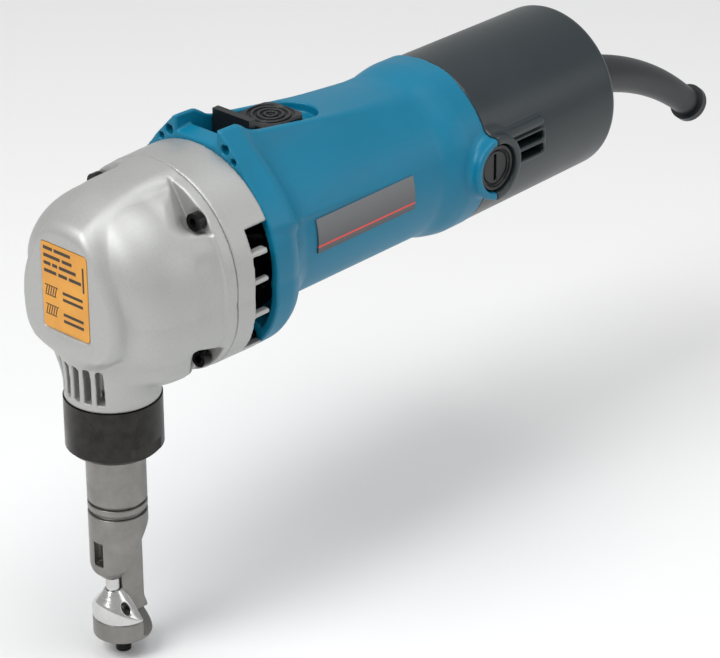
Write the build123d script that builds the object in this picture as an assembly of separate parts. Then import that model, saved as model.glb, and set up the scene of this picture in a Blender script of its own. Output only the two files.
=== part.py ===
from build123d import *
import math
import os

os.makedirs("parts", exist_ok=True)

# Electric nibbler.  Millimetres, +Z up.
# The origin is where the die holder's turning axis meets the die's cutting face.
# The motor axis is parallel to X: the head is at -X and the cord leaves at +X.

# Main layout
AXIS = 121.5            # height of the motor axis above the die's cutting face
FRONT_X = -20.3         # front face of the gear housing
SEAM_X = 25.6           # joint between gear housing and its cover
FLANGE_X = 44.8         # joint between cover and motor housing
COVER_X = 164.1         # joint between motor housing and rear cover
REAR_X = 240.7          # rear end of the rear cover
HEAD_R = 38.5           # radius of the head round the motor axis
BARREL_R = 31.0         # radius of the grip
MOTOR_R = 33.6          # radius at the rear cover
WALL = 3.0              # wall of the castings and mouldings

# Nose, die and punch
HOLDER_R = 10.87        # outside radius of the die holder
PUNCH_X = -4.1          # the punch stands off the holder's axis, towards the front
PUNCH_R = 2.5
KERF_CLEAR = 0.2        # the web is this much inside the kerf on each side
NOSE_Z = 5.0            # underside of the nose, the ceiling of the sheet gap
NOSE_TIP_R = 3.3
DIE_TIP_R = 3.07
DIE_SLOPE = 1.34        # fall of the die's cone for each millimetre of radius
DIE_BASE_Z = -11.8
FOOT_Z = -19.5
WEB_X0 = 3.0
WEB_X1 = 9.3
STROKE = 6.0
GAUGE_GROOVES = ((35.9, 37.1), (31.9, 33.5))    # 1.2 mm and 1.6 mm sheet gauges

# Lock nut and neck
NUT_R = 17.76
NUT_Z0 = 58.0
NUT_Z1 = 79.1
NECK_R = 17.3
SPIGOT_R = 14.9
SLEEVE_R = 11.1
RAM_R = 7.5             # punch holder
RAM_BORE_R = 7.57

# Gears and crank
MODULE = 0.65
PINION_TEETH = 9
GEAR_TEETH = 45
CENTRES = MODULE * (PINION_TEETH + GEAR_TEETH) / 2
CRANK_Z = AXIS - CENTRES
THROW = STROKE / 2
ROLLER_R = 5.5
WINDOW_HALF_Y = ROLLER_R + THROW + 0.3
WINDOW_HALF_Z = ROLLER_R + 2 * THROW + 0.3

# Motor
CORE_X0 = 84.0
CORE_X1 = 136.0
CORE_R = 17.0
AIR_GAP = 0.5
BRUSH_X = 165.0
COMMUTATOR_R = 11.5
SHAFT_R = 5.0

# Screws that hold the head: (y, z) of each one
HEAD_SCREWS = ((24.9, AXIS + 24.9), (-24.9, AXIS + 24.9),
               (25.3, AXIS - 27.6), (-25.3, AXIS - 27.6))
SCREW_FLOOR_X = 21.0
SCREW_HEAD = 3.2

# Screws of the rear cover: (y, z) of each one
COVER_SCREWS = ((19.0, AXIS + 11.0), (-19.0, AXIS - 11.0))

# Switch knob and the channel that it slides in
KNOB_X0 = 71.5
KNOB_X1 = 91.6
KNOB_MID_X = 82.2
CHANNEL_R = 9.75
CHANNEL_END_X = 92.8    # centre of the channel's round rear end

# Cord guard: it droops from the rear cover on one arc and ends straight
GUARD_DROP = 5.0        # first slope, degrees
GUARD_BEND_R = 150.0
GUARD_BEND = 32.0       # degrees of arc
GUARD_TAIL = 12.0
CORD_HOLE_R = 3.6


def xcyl(r, x0, x1, y=0.0, z=AXIS):
    return Pos((x0 + x1) / 2, y, z) * Rot(0, 90, 0) * Cylinder(r, x1 - x0)


def ycyl(r, y0, y1, x=0.0, z=AXIS):
    return Pos(x, (y0 + y1) / 2, z) * Rot(90, 0, 0) * Cylinder(r, y1 - y0)


def zcyl(r, z0, z1, x=0.0, y=0.0):
    return Pos(x, y, (z0 + z1) / 2) * Cylinder(r, z1 - z0)


def xcone(r0, r1, x0, x1, y=0.0, z=AXIS):
    return Pos((x0 + x1) / 2, y, z) * Rot(0, 90, 0) * Cone(r0, r1, x1 - x0)


def zcone(r0, r1, z0, z1, x=0.0, y=0.0):
    return Pos(x, y, (z0 + z1) / 2) * Cone(r0, r1, z1 - z0)


def block(x0, x1, y0, y1, z0, z1):
    return Pos((x0 + x1) / 2, (y0 + y1) / 2, (z0 + z1) / 2) * Box(x1 - x0, y1 - y0, z1 - z0)


def xring(outer, inner, x0, x1, y=0.0, z=AXIS):
    return xcyl(outer, x0, x1, y, z) - xcyl(inner, x0 - 1, x1 + 1, y, z)


def zring(outer, inner, z0, z1):
    return zcyl(outer, z0, z1) - zcyl(inner, z0 - 1, z1 + 1)


def both_sides(shape):
    """A shape on the -Y side and its mirror image on the +Y side."""
    return shape + mirror(shape, about=Plane.XZ)


# The head's cross-section is round above and squarer below: three circles.
CORNER_Y = 8.8
CORNER_Z = -8.0
CORNER_IN = 9.0


def head_bar(r0, r1, x0, x1):
    """A bar of the head's section that goes from size r0 to size r1."""
    bar = xcone(r0, r1, x0, x1)
    for side in (-1, 1):
        bar += xcone(r0 - CORNER_IN, r1 - CORNER_IN, x0, x1, side * CORNER_Y, AXIS + CORNER_Z)
    return bar


def head_prism(r, x0, x1):
    bar = xcyl(r, x0, x1)
    for side in (-1, 1):
        bar += xcyl(r - CORNER_IN, x0, x1, side * CORNER_Y, AXIS + CORNER_Z)
    return bar


# ---------------------------------------------------------------- head castings

def front_plateau(inset, x_front, x_back):
    """The raised block on the front, with its round top and bevelled rim."""
    half = 19.5 - inset
    slab = block(x_front, x_back, -half, half, AXIS - 25.0 + inset, AXIS + 36.0)
    dome = xcone(28.5 - inset, 32.5 - inset, x_front, x_front + 5.0)
    dome += xcyl(32.5 - inset, x_front + 5.0, x_back)
    return slab & dome


def neck_slots():
    """Five tall air slots round the front of the neck."""
    slots = []
    for angle in (-33.0, -16.5, 0.0, 16.5, 33.0):
        cutter = block(-20.0, -12.0, -1.5, 1.5, 82.0, 94.5)
        slots.append(Rot(0, 0, angle) * cutter)
    return slots


def gear_housing():
    shell = head_prism(HEAD_R, 8.0, SEAM_X) + head_bar(29.0, HEAD_R, -10.0, 8.0)
    shell += front_plateau(0.0, FRONT_X, 0.0)
    shell += zcyl(NECK_R, NUT_Z1, AXIS - 18.0)
    outside = shell
    shell -= head_prism(HEAD_R - WALL, 12.0, SEAM_X + 1.0)
    shell -= head_bar(25.0, HEAD_R - WALL - 1.0, -6.5, 12.0)
    shell -= front_plateau(3.0, FRONT_X + 2.7, 0.0)
    shell -= zcyl(NECK_R - WALL, NUT_Z1 + 3.0, AXIS - 12.0)
    for y, z in HEAD_SCREWS:
        shell += xcyl(7.2, 12.0, SEAM_X, y, z) & outside
        shell -= xcyl(4.6, -12.0, SCREW_FLOOR_X, y, z)
        shell -= xcyl(2.0, SCREW_FLOOR_X - 1.0, SEAM_X + 1.0, y, z)
    shell += xring(9.5, 7.0, FRONT_X + 2.6, -12.8, 0.0, CRANK_Z)
    shell += zcyl(SPIGOT_R, 66.3, NUT_Z1)
    shell -= zcyl(SLEEVE_R + 0.1, 60.0, NUT_Z1 + 0.1)
    shell -= zcyl(9.6, NUT_Z1 - 1.0, NUT_Z1 + 4.0)
    shell -= xcyl(7.0, FRONT_X + 2.7, -12.0, 0.0, CRANK_Z)
    for slot in neck_slots():
        shell -= slot
    shell -= block(FRONT_X - 1.0, FRONT_X + 0.6, -11.8, 11.8, AXIS - 12.6, AXIS + 20.7)
    return shell


def warning_label():
    return block(FRONT_X + 0.1, FRONT_X + 0.6, -11.4, 11.4, AXIS - 12.2, AXIS + 20.3)


def gear_housing_cover():
    """Bearing plate with the fan's exhaust ring behind it."""
    shell = head_bar(HEAD_R, HEAD_R + 0.3, SEAM_X, FLANGE_X)
    shell -= head_prism(HEAD_R - WALL, 33.6, FLANGE_X + 1.0)
    shell -= head_prism(HEAD_R - WALL, SEAM_X - 1.0, 28.0)
    shell += xcyl(12.5, 33.6, 42.0)
    shell -= xcyl(9.5, 35.0, 42.1)
    shell -= xcyl(SHAFT_R + 1.0, SEAM_X, 36.0)
    shell -= xcyl(7.5, 28.9, 33.7, 0.0, CRANK_Z)
    shell -= xcyl(5.5, 27.0, 29.0, 0.0, CRANK_Z)
    for y, z in HEAD_SCREWS:
        shell += xcyl(6.0, SEAM_X, FLANGE_X, y, z) & head_prism(HEAD_R, SEAM_X, FLANGE_X)
        shell -= xcyl(2.0, SEAM_X - 1.0, FLANGE_X + 1.0, y, z)
    for z0, z1 in ((11.4, 18.8), (0.7, 9.2), (-11.9, -1.5), (-19.5, -14.1)):
        window = block(33.7, FLANGE_X + 1.0, -45.0, -28.0, AXIS + z0, AXIS + z1)
        shell -= window
        shell -= mirror(window, about=Plane.XZ)
    return shell


def screw_set(places, x_head, x_end, head_r, head_len, shank_r, socket_r):
    """Socket-head cap screws along X, heads towards -X."""
    screws = []
    for y, z in places:
        screw = xcyl(head_r, x_head, x_head + head_len, y, z)
        screw += xcyl(shank_r, x_head + head_len, x_end, y, z)
        screw -= xcyl(socket_r, x_head - 1.0, x_head + head_len * 0.55, y, z)
        screws.append(screw)
    return Compound(children=screws)


def head_screws():
    return screw_set(HEAD_SCREWS, SCREW_FLOOR_X - SCREW_HEAD, 54.0, 3.3, SCREW_HEAD, 1.9, 1.6)


# ---------------------------------------------------------------- motor housing

def flange_post():
    """One of the two posts beside the switch channel, on the +Y side."""
    outline = Polyline((10.0, 30.0), (10.0, 43.5), (11.3, 46.4), (13.0, 45.3), (28.5, 30.0),
                       (24.0, 26.0), close=True)
    post = extrude(Plane((FLANGE_X, 0, AXIS), x_dir=(0, 1, 0), z_dir=(1, 0, 0)) * make_face(outline), 11.5)
    post -= xcyl(1.9, FLANGE_X - 1.0, FLANGE_X + 8.0, 13.8, AXIS + 39.9)
    post -= xcyl(1.35, FLANGE_X - 1.0, FLANGE_X + 8.0, 18.2, AXIS + 36.7)
    return post


SWITCH_FLOOR = AXIS + 33.0      # the slider runs on this level
ROD_Z0 = AXIS + 24.5
ROD_Z1 = AXIS + 27.0


def switch_ramp():
    """Top of the housing from the flange to the grip, with the slider's channel in it."""
    profile = Polyline((FLANGE_X, 24.0), (FLANGE_X, 42.5), (59.0, 42.5), (65.0, 40.4), (75.0, 38.8),
                       (96.0, 35.4), (106.0, 33.6), (114.0, 31.0), (114.0, 24.0), close=True)
    plane = Plane((0, -12.0, AXIS), x_dir=(1, 0, 0), z_dir=(0, -1, 0))
    ramp = extrude(plane * make_face(profile), 24.0)
    return Pos(0, 24.0, 0) * ramp


def brush_boss(x0, x1):
    """The round brush boss on both sides, kept only between x0 and x1."""
    boss = ycyl(12.8, -38.0, -26.0, BRUSH_X, AXIS)
    boss = both_sides(boss)
    return boss & block(x0, x1, -50.0, 50.0, AXIS - 20.0, AXIS + 20.0)


def spider():
    """Arms that carry the rear bearing behind the commutator."""
    frame = xring(12.6, 9.5, 180.0, 187.0)
    for angle in (45, 135, 225, 315):
        arm = block(180.0, 187.0, 12.0, 28.4, -3.0, 3.0)
        rail = block(158.0, 187.0, 24.4, 28.6, -3.0, 3.0)
        frame += Pos(0, 0, AXIS) * Rot(angle, 0, 0) * (arm + rail)
    return frame


def motor_housing():
    shell = head_prism(HEAD_R + 0.4, FLANGE_X, 57.0) + head_bar(HEAD_R + 0.4, BARREL_R, 57.0, 72.0)
    shell += xcyl(BARREL_R, 72.0, 146.0) + xcone(BARREL_R, MOTOR_R, 146.0, 155.0)
    shell += xcyl(MOTOR_R, 155.0, COVER_X)
    shell += switch_ramp()
    shell += both_sides(flange_post())
    shell += brush_boss(140.0, COVER_X)
    shell -= xcyl(HEAD_R - WALL, FLANGE_X - 1.0, 59.0)
    shell -= xcone(HEAD_R - WALL, 28.4, 59.0, 70.0)
    shell -= xcyl(28.4, 69.9, COVER_X + 1.0)
    # channel: open at the front between the posts, and a recess behind the knob
    shell -= block(FLANGE_X + 7.5, CHANNEL_END_X, -CHANNEL_R, CHANNEL_R, SWITCH_FLOOR, AXIS + 60.0)
    shell -= zcyl(CHANNEL_R, SWITCH_FLOOR, AXIS + 60.0, CHANNEL_END_X)
    shell -= block(FLANGE_X - 1.0, FLANGE_X + 8.0, -10.0, 10.0, AXIS + 40.0, AXIS + 60.0)
    shell -= block(75.0, 93.0, -3.4, 3.4, AXIS + 27.0, SWITCH_FLOOR + 1.0)
    shell -= ycyl(8.7, -50.0, 50.0, BRUSH_X, AXIS)
    for y, z in HEAD_SCREWS:
        shell += xcyl(5.2, FLANGE_X, 58.0, y, z) & head_prism(HEAD_R, FLANGE_X, 58.0)
        shell -= xcyl(1.95, FLANGE_X - 1.0, 55.0, y, z)
    return shell + spider()


def side_plate(side):
    sheet = xring(BARREL_R + 0.6, BARREL_R, 73.3, 124.8)
    return sheet & block(70.0, 130.0, min(0, side * 40), max(0, side * 40), AXIS - 4.6, AXIS + 8.4)


# ---------------------------------------------------------------- rear cover and cord exit

def rear_cover():
    can = xcone(MOTOR_R, MOTOR_R - 0.7, COVER_X, REAR_X)
    rim = can.edges().filter_by(GeomType.CIRCLE).sort_by(Axis.X)[-1]
    can = fillet(rim, 7.0)
    can -= xcyl(MOTOR_R - WALL, COVER_X - 1.0, 200.0)
    can -= xcyl(MOTOR_R - WALL - 1.5, 199.0, REAR_X - 4.0)
    can += brush_boss(COVER_X, 190.0)
    can -= ycyl(8.7, -50.0, 50.0, BRUSH_X, AXIS)
    can -= xcyl(26.0, COVER_X - 1.0, 182.0)
    for z0, z1 in ((1.6, 5.4), (-3.8, 0.1)):
        slot = block(180.5, 195.0, -45.0, -20.0, AXIS + z0, AXIS + z1)
        can -= slot
        can -= mirror(slot, about=Plane.XZ)
    can -= xcyl(9.0, REAR_X - 6.0, REAR_X + 1.0)
    for y, z in COVER_SCREWS:
        can += xcyl(5.0, 226.0, REAR_X - 2.0, y, z)
        can -= xcyl(4.1, REAR_X - 7.0, REAR_X + 1.0, y, z)
        can -= xcyl(2.2, 220.0, REAR_X, y, z)
    return can


def rear_cover_screws():
    screws = []
    for y, z in COVER_SCREWS:
        screw = xcyl(3.9, REAR_X - 7.0, REAR_X - 4.0, y, z) + xcyl(2.0, 190.0, REAR_X - 7.0, y, z)
        screw -= block(REAR_X - 5.2, REAR_X - 3.9, y - 3.0, y + 3.0, z - 0.5, z + 0.5)
        screws.append(screw)
    return Compound(children=screws)


def guard_path():
    """Centre line in the XZ plane: start, middle and end of one arc down, then the mouth."""
    slope = math.radians(GUARD_DROP)
    end = math.radians(GUARD_DROP + GUARD_BEND)
    p1 = Vector(REAR_X + 4.0, 0, AXIS - 4.0 * math.tan(slope))
    centre = p1 - Vector(math.sin(slope), 0, math.cos(slope)) * GUARD_BEND_R
    p2 = centre + Vector(math.sin(end), 0, math.cos(end)) * GUARD_BEND_R
    p3 = p2 + Vector(math.cos(end), 0, -math.sin(end)) * GUARD_TAIL
    middle = math.radians(GUARD_DROP + GUARD_BEND / 2)
    half_way = centre + Vector(math.sin(middle), 0, math.cos(middle)) * GUARD_BEND_R
    return p1, half_way, p2, p3


def guard_frames():
    """Planes square to the centre line at its start, middle, end of arc and mouth."""
    p1, half_way, p2, p3 = guard_path()
    frames = []
    for point, turned in ((p1, 0.0), (half_way, 0.5), (p2, 1.0), (p3, 1.0)):
        angle = math.radians(GUARD_DROP + turned * GUARD_BEND)
        normal = (math.cos(angle), 0, -math.sin(angle))
        frames.append(Plane(origin=point, x_dir=(0, 1, 0), z_dir=normal))
    return frames


def arc_tube(r0, r1):
    """Round bar along the guard's arc, from radius r0 to radius r1."""
    p1, half_way, p2, p3 = guard_path()
    start, middle, end, mouth = guard_frames()
    path = Wire([ThreePointArc(p1, half_way, p2)])
    rings = [start * Circle(r0), middle * Circle((r0 + r1) / 2), end * Circle(r1)]
    return sweep(rings, path=path, multisection=True)


def guard_mouth():
    return guard_frames()[3]


def cord_guard():
    start, middle, end, mouth = guard_frames()
    body = xcyl(8.7, REAR_X - 7.2, REAR_X + 4.6) + arc_tube(8.7, 5.9)
    body += extrude(end * Circle(5.9), GUARD_TAIL)
    body += extrude(mouth * Circle(7.7), -3.0)
    body += xring(12.0, 8.0, REAR_X - 7.2, REAR_X - 4.2)
    body -= xcyl(CORD_HOLE_R, REAR_X - 8.0, REAR_X + 4.6)
    body -= arc_tube(CORD_HOLE_R, CORD_HOLE_R)
    body -= extrude(end * Circle(CORD_HOLE_R), GUARD_TAIL + 1.0)
    return body


def cord_clamp():
    clamp = block(218.0, 226.0, -13.0, 13.0, AXIS + 4.0, AXIS + 8.0) - xcyl(4.5, 217.0, 227.0)
    for y in (-10.0, 10.0):
        clamp -= zcyl(1.8, AXIS, AXIS + 10.0, 222.0, y)
    return clamp


def cord_clamp_screws():
    screws = []
    for y in (-10.0, 10.0):
        screw = zcyl(3.0, AXIS + 8.0, AXIS + 10.2, 222.0, y) + zcyl(1.7, AXIS - 4.0, AXIS + 8.0, 222.0, y)
        screws.append(screw)
    return Compound(children=screws)


def clamp_bed():
    """Ledge in the rear cover under the cord clamp."""
    bed = block(218.0, 226.0, -30.0, 30.0, AXIS - 8.0, AXIS - 4.2)
    for y in (-10.0, 10.0):
        bed += zcyl(3.2, AXIS - 4.3, AXIS + 4.0, 222.0, y)
        bed -= zcyl(1.75, AXIS - 9.0, AXIS + 5.0, 222.0, y)
    return bed


# ---------------------------------------------------------------- brush gear

def brush_holder(side):
    tube = block(BRUSH_X - 4.8, BRUSH_X + 4.8, 14.0, 29.0, AXIS - 6.3, AXIS + 6.3)
    tube += ycyl(8.4, 28.0, 30.5, BRUSH_X, AXIS)
    tube -= block(BRUSH_X - 3.3, BRUSH_X + 3.3, 13.0, 32.0, AXIS - 4.8, AXIS + 4.8)
    return tube if side > 0 else mirror(tube, about=Plane.XZ)


def carbon_brush(side):
    brush = block(BRUSH_X - 3.2, BRUSH_X + 3.2, COMMUTATOR_R - 1.0, 23.0, AXIS - 4.7, AXIS + 4.7)
    brush -= xcyl(COMMUTATOR_R + 0.15, 150.0, 180.0)
    return brush if side > 0 else mirror(brush, about=Plane.XZ)


def brush_spring(side):
    coils = []
    for turn in range(6):
        ring = Pos(BRUSH_X, 23.5 + turn * 1.25, AXIS) * Rot(90, 0, 0) * Torus(2.3, 0.4)
        coils.append(ring)
    spine = block(BRUSH_X - 0.4, BRUSH_X + 0.4, 23.1, 30.2, AXIS + 1.9, AXIS + 2.7)
    spring = spine
    for ring in coils:
        spring += ring
    return spring if side > 0 else mirror(spring, about=Plane.XZ)


def brush_cap(side):
    cap = ycyl(8.5, 31.0, 35.4, BRUSH_X, AXIS) - block(155.0, 175.0, 33.9, 36.0, AXIS - 0.9, AXIS + 0.9)
    cap -= ycyl(4.0, 30.5, 33.0, BRUSH_X, AXIS)
    keep = ycyl(7.0, 33.0, 36.0, BRUSH_X, AXIS)
    cap = (cap & keep) + (ycyl(8.5, 31.0, 34.2, BRUSH_X, AXIS) - ycyl(6.9, 30.0, 36.0, BRUSH_X, AXIS))
    cap += ycyl(7.2, 31.0, 33.6, BRUSH_X, AXIS) - ycyl(4.0, 30.5, 33.0, BRUSH_X, AXIS)
    return cap if side > 0 else mirror(cap, about=Plane.XZ)


# ---------------------------------------------------------------- switch

def switch_slider():
    """Plate under the knob, with the upright finger bar at its front end."""
    plate = block(62.0, KNOB_X1, -8.6, 8.6, SWITCH_FLOOR + 0.3, SWITCH_FLOOR + 2.0)
    plate += block(62.0, 65.0, -9.2, 9.2, SWITCH_FLOOR + 0.3, AXIS + 44.0)
    plate += block(84.0, KNOB_X1, -2.8, 2.8, ROD_Z1, SWITCH_FLOOR + 0.5)
    return plate


def switch_knob():
    base = block(KNOB_X0, KNOB_X1, -9.4, 9.4, SWITCH_FLOOR + 2.0, AXIS + 37.4)
    knob = chamfer(base.edges().filter_by(Axis.Z), 3.5)
    for r in (3.2, 6.0, 8.6):
        groove = zcyl(r, AXIS + 36.8, AXIS + 38.0, KNOB_MID_X)
        knob -= groove - zcyl(r - 1.1, AXIS + 36.0, AXIS + 39.0, KNOB_MID_X)
    return knob


def switch_rod():
    return block(84.0, 196.0, -2.8, 2.8, ROD_Z0, ROD_Z1) + block(193.0, 196.0, -2.8, 2.8, ROD_Z0 - 5.5, ROD_Z1)


def switch_unit():
    box = block(198.0, 216.0, -7.0, 7.0, AXIS + 10.0, AXIS + 27.0)
    lever = block(197.2, 198.2, -3.0, 3.0, AXIS + 18.0, AXIS + 22.0)
    for y in (-4.0, 4.0):
        box += block(216.0, 221.0, y - 2.4, y + 2.4, AXIS + 13.0, AXIS + 13.8)
    return box + lever


# ---------------------------------------------------------------- motor inside

FIELD_SCREW_Y = 26.0
FIELD_SCREW_R = 1.5


def field_core():
    core = xcyl(28.3, CORE_X0, CORE_X1) & block(80.0, 140.0, -30.0, 30.0, AXIS - 23.6, AXIS + 23.6)
    core -= xcyl(CORE_R + AIR_GAP, CORE_X0 - 1.0, CORE_X1 + 1.0)
    for y in (-FIELD_SCREW_Y, FIELD_SCREW_Y):
        core -= xcyl(FIELD_SCREW_R, CORE_X0 - 1.0, CORE_X1 + 1.0, y, AXIS)
    for angle in (55, 125, 235, 305):
        slot = block(CORE_X0 - 1.0, CORE_X1 + 1.0, 16.5, 24.0, -3.0, 3.0)
        core -= Pos(0, 0, AXIS) * Rot(angle, 0, 0) * slot
    return core


def field_coils():
    """Two windings whose ends stand out of the core at front and rear."""
    coils = None
    for x0, x1 in ((CORE_X0 - 9.0, CORE_X0), (CORE_X1, CORE_X1 + 9.0)):
        ring = xring(23.4, 18.2, x0, x1)
        coils = ring if coils is None else coils + ring
    for angle in (55, 125, 235, 305):
        side = block(CORE_X0 - 1.0, CORE_X1 + 1.0, 18.2, 23.4, -2.9, 2.9)
        coils += Pos(0, 0, AXIS) * Rot(angle, 0, 0) * side
    return coils


def field_screws():
    screws = []
    for y in (-FIELD_SCREW_Y, FIELD_SCREW_Y):
        screw = xcyl(FIELD_SCREW_R, CORE_X0 - 4.0, CORE_X1 + 1.0, y, AXIS)
        screw += xcyl(2.25, CORE_X1, CORE_X1 + 3.0, y, AXIS)
        screws.append(screw)
    return Compound(children=screws)


def baffle_plate():
    return xring(31.2, 18.5, 63.5, 65.0)


def bearing(outer, inner, x0, x1, z=AXIS):
    ring = xring(outer, inner, x0, x1, 0.0, z)
    depth = 0.4
    middle_out = outer - (outer - inner) * 0.25
    middle_in = inner + (outer - inner) * 0.25
    for x in (x0 - 1.0, x1 - depth):
        ring -= xring(middle_out, middle_in, x, x + depth + 1.0, 0.0, z)
    return ring


def tooth_outline(teeth, phase):
    """Closed outline of a small spur gear; phase is the angle of one tooth, degrees."""
    pitch_r = MODULE * teeth / 2
    pitch = 360.0 / teeth
    corners = ((-0.30, -1.15), (-0.19, 0.0), (-0.11, 0.8), (0.11, 0.8), (0.19, 0.0), (0.30, -1.15))
    points = []
    for tooth in range(teeth):
        for turn, height in corners:
            angle = math.radians(phase + (tooth + turn) * pitch)
            r = pitch_r + height * MODULE
            points.append((r * math.cos(angle), r * math.sin(angle)))
    return Polyline(*points, close=True)


def spur_gear(teeth, phase, x0, x1, z):
    plane = Plane((x0, 0, z), x_dir=(0, 1, 0), z_dir=(1, 0, 0))
    return extrude(plane * make_face(tooth_outline(teeth, phase)), x1 - x0)


def armature_shaft():
    """Shaft with the pinion cut on its front end."""
    shaft = spur_gear(PINION_TEETH, -90.0, 15.0, 25.0, AXIS) + xcyl(2.1, 14.5, 27.0)
    shaft += xcyl(SHAFT_R - 0.5, 26.0, 47.0) + xcyl(SHAFT_R, 46.0, 178.0)
    shaft += xcyl(SHAFT_R - 0.5, 177.0, 188.0)
    return shaft


def armature_core():
    core = xring(CORE_R, SHAFT_R, CORE_X0, CORE_X1)
    for slot in range(12):
        groove = block(CORE_X0 - 1.0, CORE_X1 + 1.0, CORE_R - 1.6, CORE_R + 1.0, -1.0, 1.0)
        core -= Pos(0, 0, AXIS) * Rot(slot * 30.0, 0, 0) * groove
    return core


def armature_winding():
    winding = None
    for x0, x1, r0, r1 in ((CORE_X0 - 7.0, CORE_X0, 11.0, 15.0), (CORE_X1, CORE_X1 + 7.0, 15.0, 11.0)):
        end = xcone(r0, r1, x0, x1) - xcyl(SHAFT_R, x0 - 1.0, x1 + 1.0)
        winding = end if winding is None else winding + end
    return winding


def commutator():
    drum = xring(COMMUTATOR_R, SHAFT_R, 156.0, 174.0)
    for bar in range(24):
        cut = block(155.0, 175.0, COMMUTATOR_R - 0.6, COMMUTATOR_R + 1.0, -0.2, 0.2)
        drum -= Pos(0, 0, AXIS) * Rot(bar * 15.0, 0, 0) * cut
    return drum


def fan():
    wheel = xring(9.0, SHAFT_R, 48.0, 60.0) + xring(29.8, 8.5, 57.5, 59.5)
    for blade in range(9):
        vane = block(48.5, 58.0, 14.0, 29.3, -0.7, 0.7)
        wheel += Pos(0, 0, AXIS) * Rot(blade * 40.0, 0, 0) * vane
    return wheel


# ---------------------------------------------------------------- crank and yoke

def crankshaft():
    low = CRANK_Z - THROW
    shaft = xcyl(3.97, -17.4, -11.0, 0.0, CRANK_Z) + xcyl(8.0, -12.2, -7.0, 0.0, CRANK_Z)
    shaft += xcyl(3.5, -8.0, 8.0, 0.0, low) + xcyl(8.0, 7.0, 12.0, 0.0, CRANK_Z)
    shaft += xcyl(SHAFT_R, 11.0, 26.0, 0.0, CRANK_Z) + xcyl(3.97, 25.0, 33.5, 0.0, CRANK_Z)
    return shaft


def crank_roller():
    return xring(ROLLER_R, 3.5, -4.4, 4.4, 0.0, CRANK_Z - THROW)


def drive_gear():
    gear = spur_gear(GEAR_TEETH, 90.0 + 180.0 / GEAR_TEETH, 16.0, 23.0, CRANK_Z)
    gear -= xcyl(SHAFT_R, 15.0, 24.0, 0.0, CRANK_Z)
    for x in (15.0, 21.5):
        gear -= xring(12.2, 7.5, x, x + 2.5, 0.0, CRANK_Z)
    return gear


def yoke():
    """Scotch yoke: a window for the roller, and a stem with a T-slot at its foot."""
    low = CRANK_Z - THROW
    frame = block(-5.0, 5.0, -12.2, 12.2, low - WINDOW_HALF_Z - 4.0, low + WINDOW_HALF_Z + 4.0)
    frame -= block(-6.0, 6.0, -WINDOW_HALF_Y, WINDOW_HALF_Y, low - WINDOW_HALF_Z, low + WINDOW_HALF_Z)
    frame += zcyl(7.4, 66.3, low - WINDOW_HALF_Z - 2.0)
    frame -= block(-9.0, 9.0, -3.2, 3.2, 66.0, 68.8)
    frame -= block(-9.0, 9.0, -5.2, 5.2, 68.7, 72.8)
    return frame


def guide_bush():
    return zring(9.6, 7.46, NUT_Z1, NUT_Z1 + 3.0)


# ---------------------------------------------------------------- die holder, die and punch

def die_holder():
    body = zcyl(HOLDER_R, NOSE_Z, 64.0)
    nose_height = HOLDER_R + abs(PUNCH_X) + 0.5
    nose = zcone(NOSE_TIP_R, NOSE_TIP_R + nose_height, NOSE_Z, NOSE_Z + nose_height, PUNCH_X)
    nose += zcyl(NOSE_TIP_R + nose_height, NOSE_Z + nose_height, 64.0, PUNCH_X)
    body &= nose
    body += zcyl(13.6, 62.0, 66.0) + zcyl(SLEEVE_R, 66.0, NUT_Z1 - 0.1)
    web = block(WEB_X0, WEB_X1, -PUNCH_R + KERF_CLEAR, PUNCH_R - KERF_CLEAR, DIE_BASE_Z - 1.0, 20.0)
    flare = Polyline((WEB_X0, DIE_BASE_Z - 0.5), (WEB_X1 + 1.4, DIE_BASE_Z - 0.5), (WEB_X1, DIE_BASE_Z + 4.0),
                     (WEB_X0, DIE_BASE_Z + 4.0), close=True)
    half_web = PUNCH_R - KERF_CLEAR
    side = Plane((0, half_web, 0), x_dir=(1, 0, 0), z_dir=(0, -1, 0))
    web += extrude(side * make_face(flare), 2 * half_web)
    body += web
    body += zcyl(HOLDER_R, FOOT_Z, DIE_BASE_Z)
    body -= zcyl(RAM_BORE_R, 30.0, NUT_Z1)
    body -= zcyl(PUNCH_R + 0.05, NOSE_Z - 1.0, 31.0, PUNCH_X)
    body -= zcyl(4.3, FOOT_Z + 2.5, DIE_BASE_Z + 1.0) & block(-5.0, WEB_X0 - 0.3, -5.0, 5.0, -30.0, 0.0)
    body -= zcyl(2.1, FOOT_Z - 1.0, DIE_BASE_Z)
    for z0, z1 in GAUGE_GROOVES:
        body -= zring(HOLDER_R + 1.0, HOLDER_R - 0.9, z0, z1)
    body -= block(-12.0, PUNCH_X, -2.3, 2.3, 12.0, 21.5)
    return body


def die():
    reach = 12.0
    tip = zcone(DIE_TIP_R + reach, DIE_TIP_R, -reach * DIE_SLOPE, 0.0, PUNCH_X)
    blank = tip & zcyl(HOLDER_R, DIE_BASE_Z, 0.0) & block(-15.0, WEB_X0 - 0.3, -15.0, 15.0, -30.0, 5.0)
    blank += zcyl(4.2, FOOT_Z + 2.8, DIE_BASE_Z) & block(-5.0, WEB_X0 - 0.4, -5.0, 5.0, -30.0, 0.0)
    blank -= zcyl(PUNCH_R + 0.05, -9.2, 1.0, PUNCH_X)
    blank -= ycyl(2.0, -15.0, 15.0, PUNCH_X + 1.4, -7.2)
    blank -= zcyl(1.95, FOOT_Z, -11.0)
    return blank


def die_bolt():
    bolt = zcyl(2.85, FOOT_Z - 7.8, FOOT_Z) + zcyl(1.95, FOOT_Z - 0.5, -11.1)
    return bolt - zcyl(1.5, FOOT_Z - 8.5, FOOT_Z - 4.5)


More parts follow.
